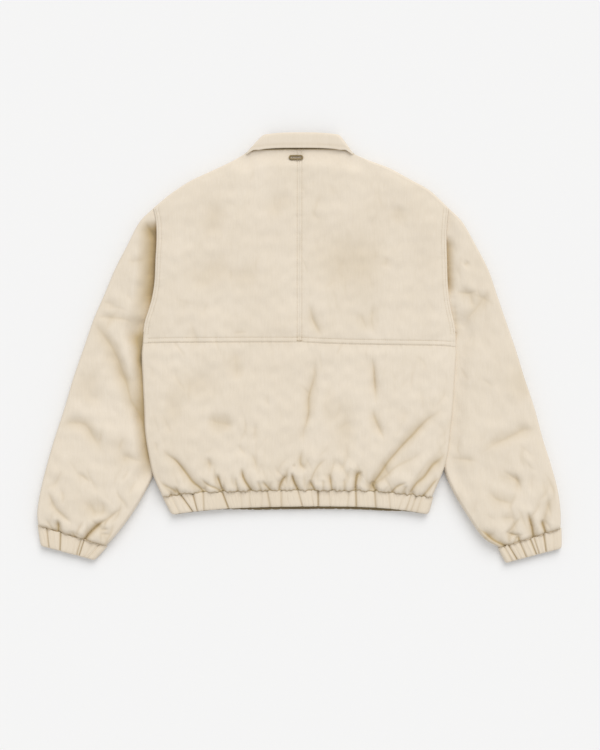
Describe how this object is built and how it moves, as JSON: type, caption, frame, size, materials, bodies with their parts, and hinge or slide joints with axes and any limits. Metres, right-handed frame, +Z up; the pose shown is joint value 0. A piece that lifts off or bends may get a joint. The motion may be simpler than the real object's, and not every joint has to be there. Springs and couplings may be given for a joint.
{
  "type": "chore jacket",
  "caption": "Cropped padded chore jacket in beige cotton, laid flat with its back up: shirt collar, split back yoke, gathered hem band and cuffs.",
  "frame": {"origin": "centre of the bounding box in plan, on the surface that the jacket lies on", "axes": "+X to the wearer's right, +Y towards the collar, +Z up out of the back of the jacket"},
  "size_m": [0.9042, 0.741, 0.027],
  "materials": {
    "padded_cotton": "matte washed cotton twill",
    "elastic_band": "matte gathered cotton over elastic",
    "loop_tape": "dull twill tape"
  },
  "bodies": {
    "root": {"back_yoke_left": "padded_cotton", "back_yoke_right": "padded_cotton", "back_lower": "padded_cotton", "front_left": "padded_cotton", "front_right": "padded_cotton", "front_placket": "padded_cotton", "sleeve_left": "padded_cotton", "sleeve_right": "padded_cotton", "cuff_left": "elastic_band", "cuff_right": "elastic_band", "hem_band": "elastic_band", "collar": "padded_cotton", "hanger_loop": "loop_tape"}
  },
  "joints": []
}
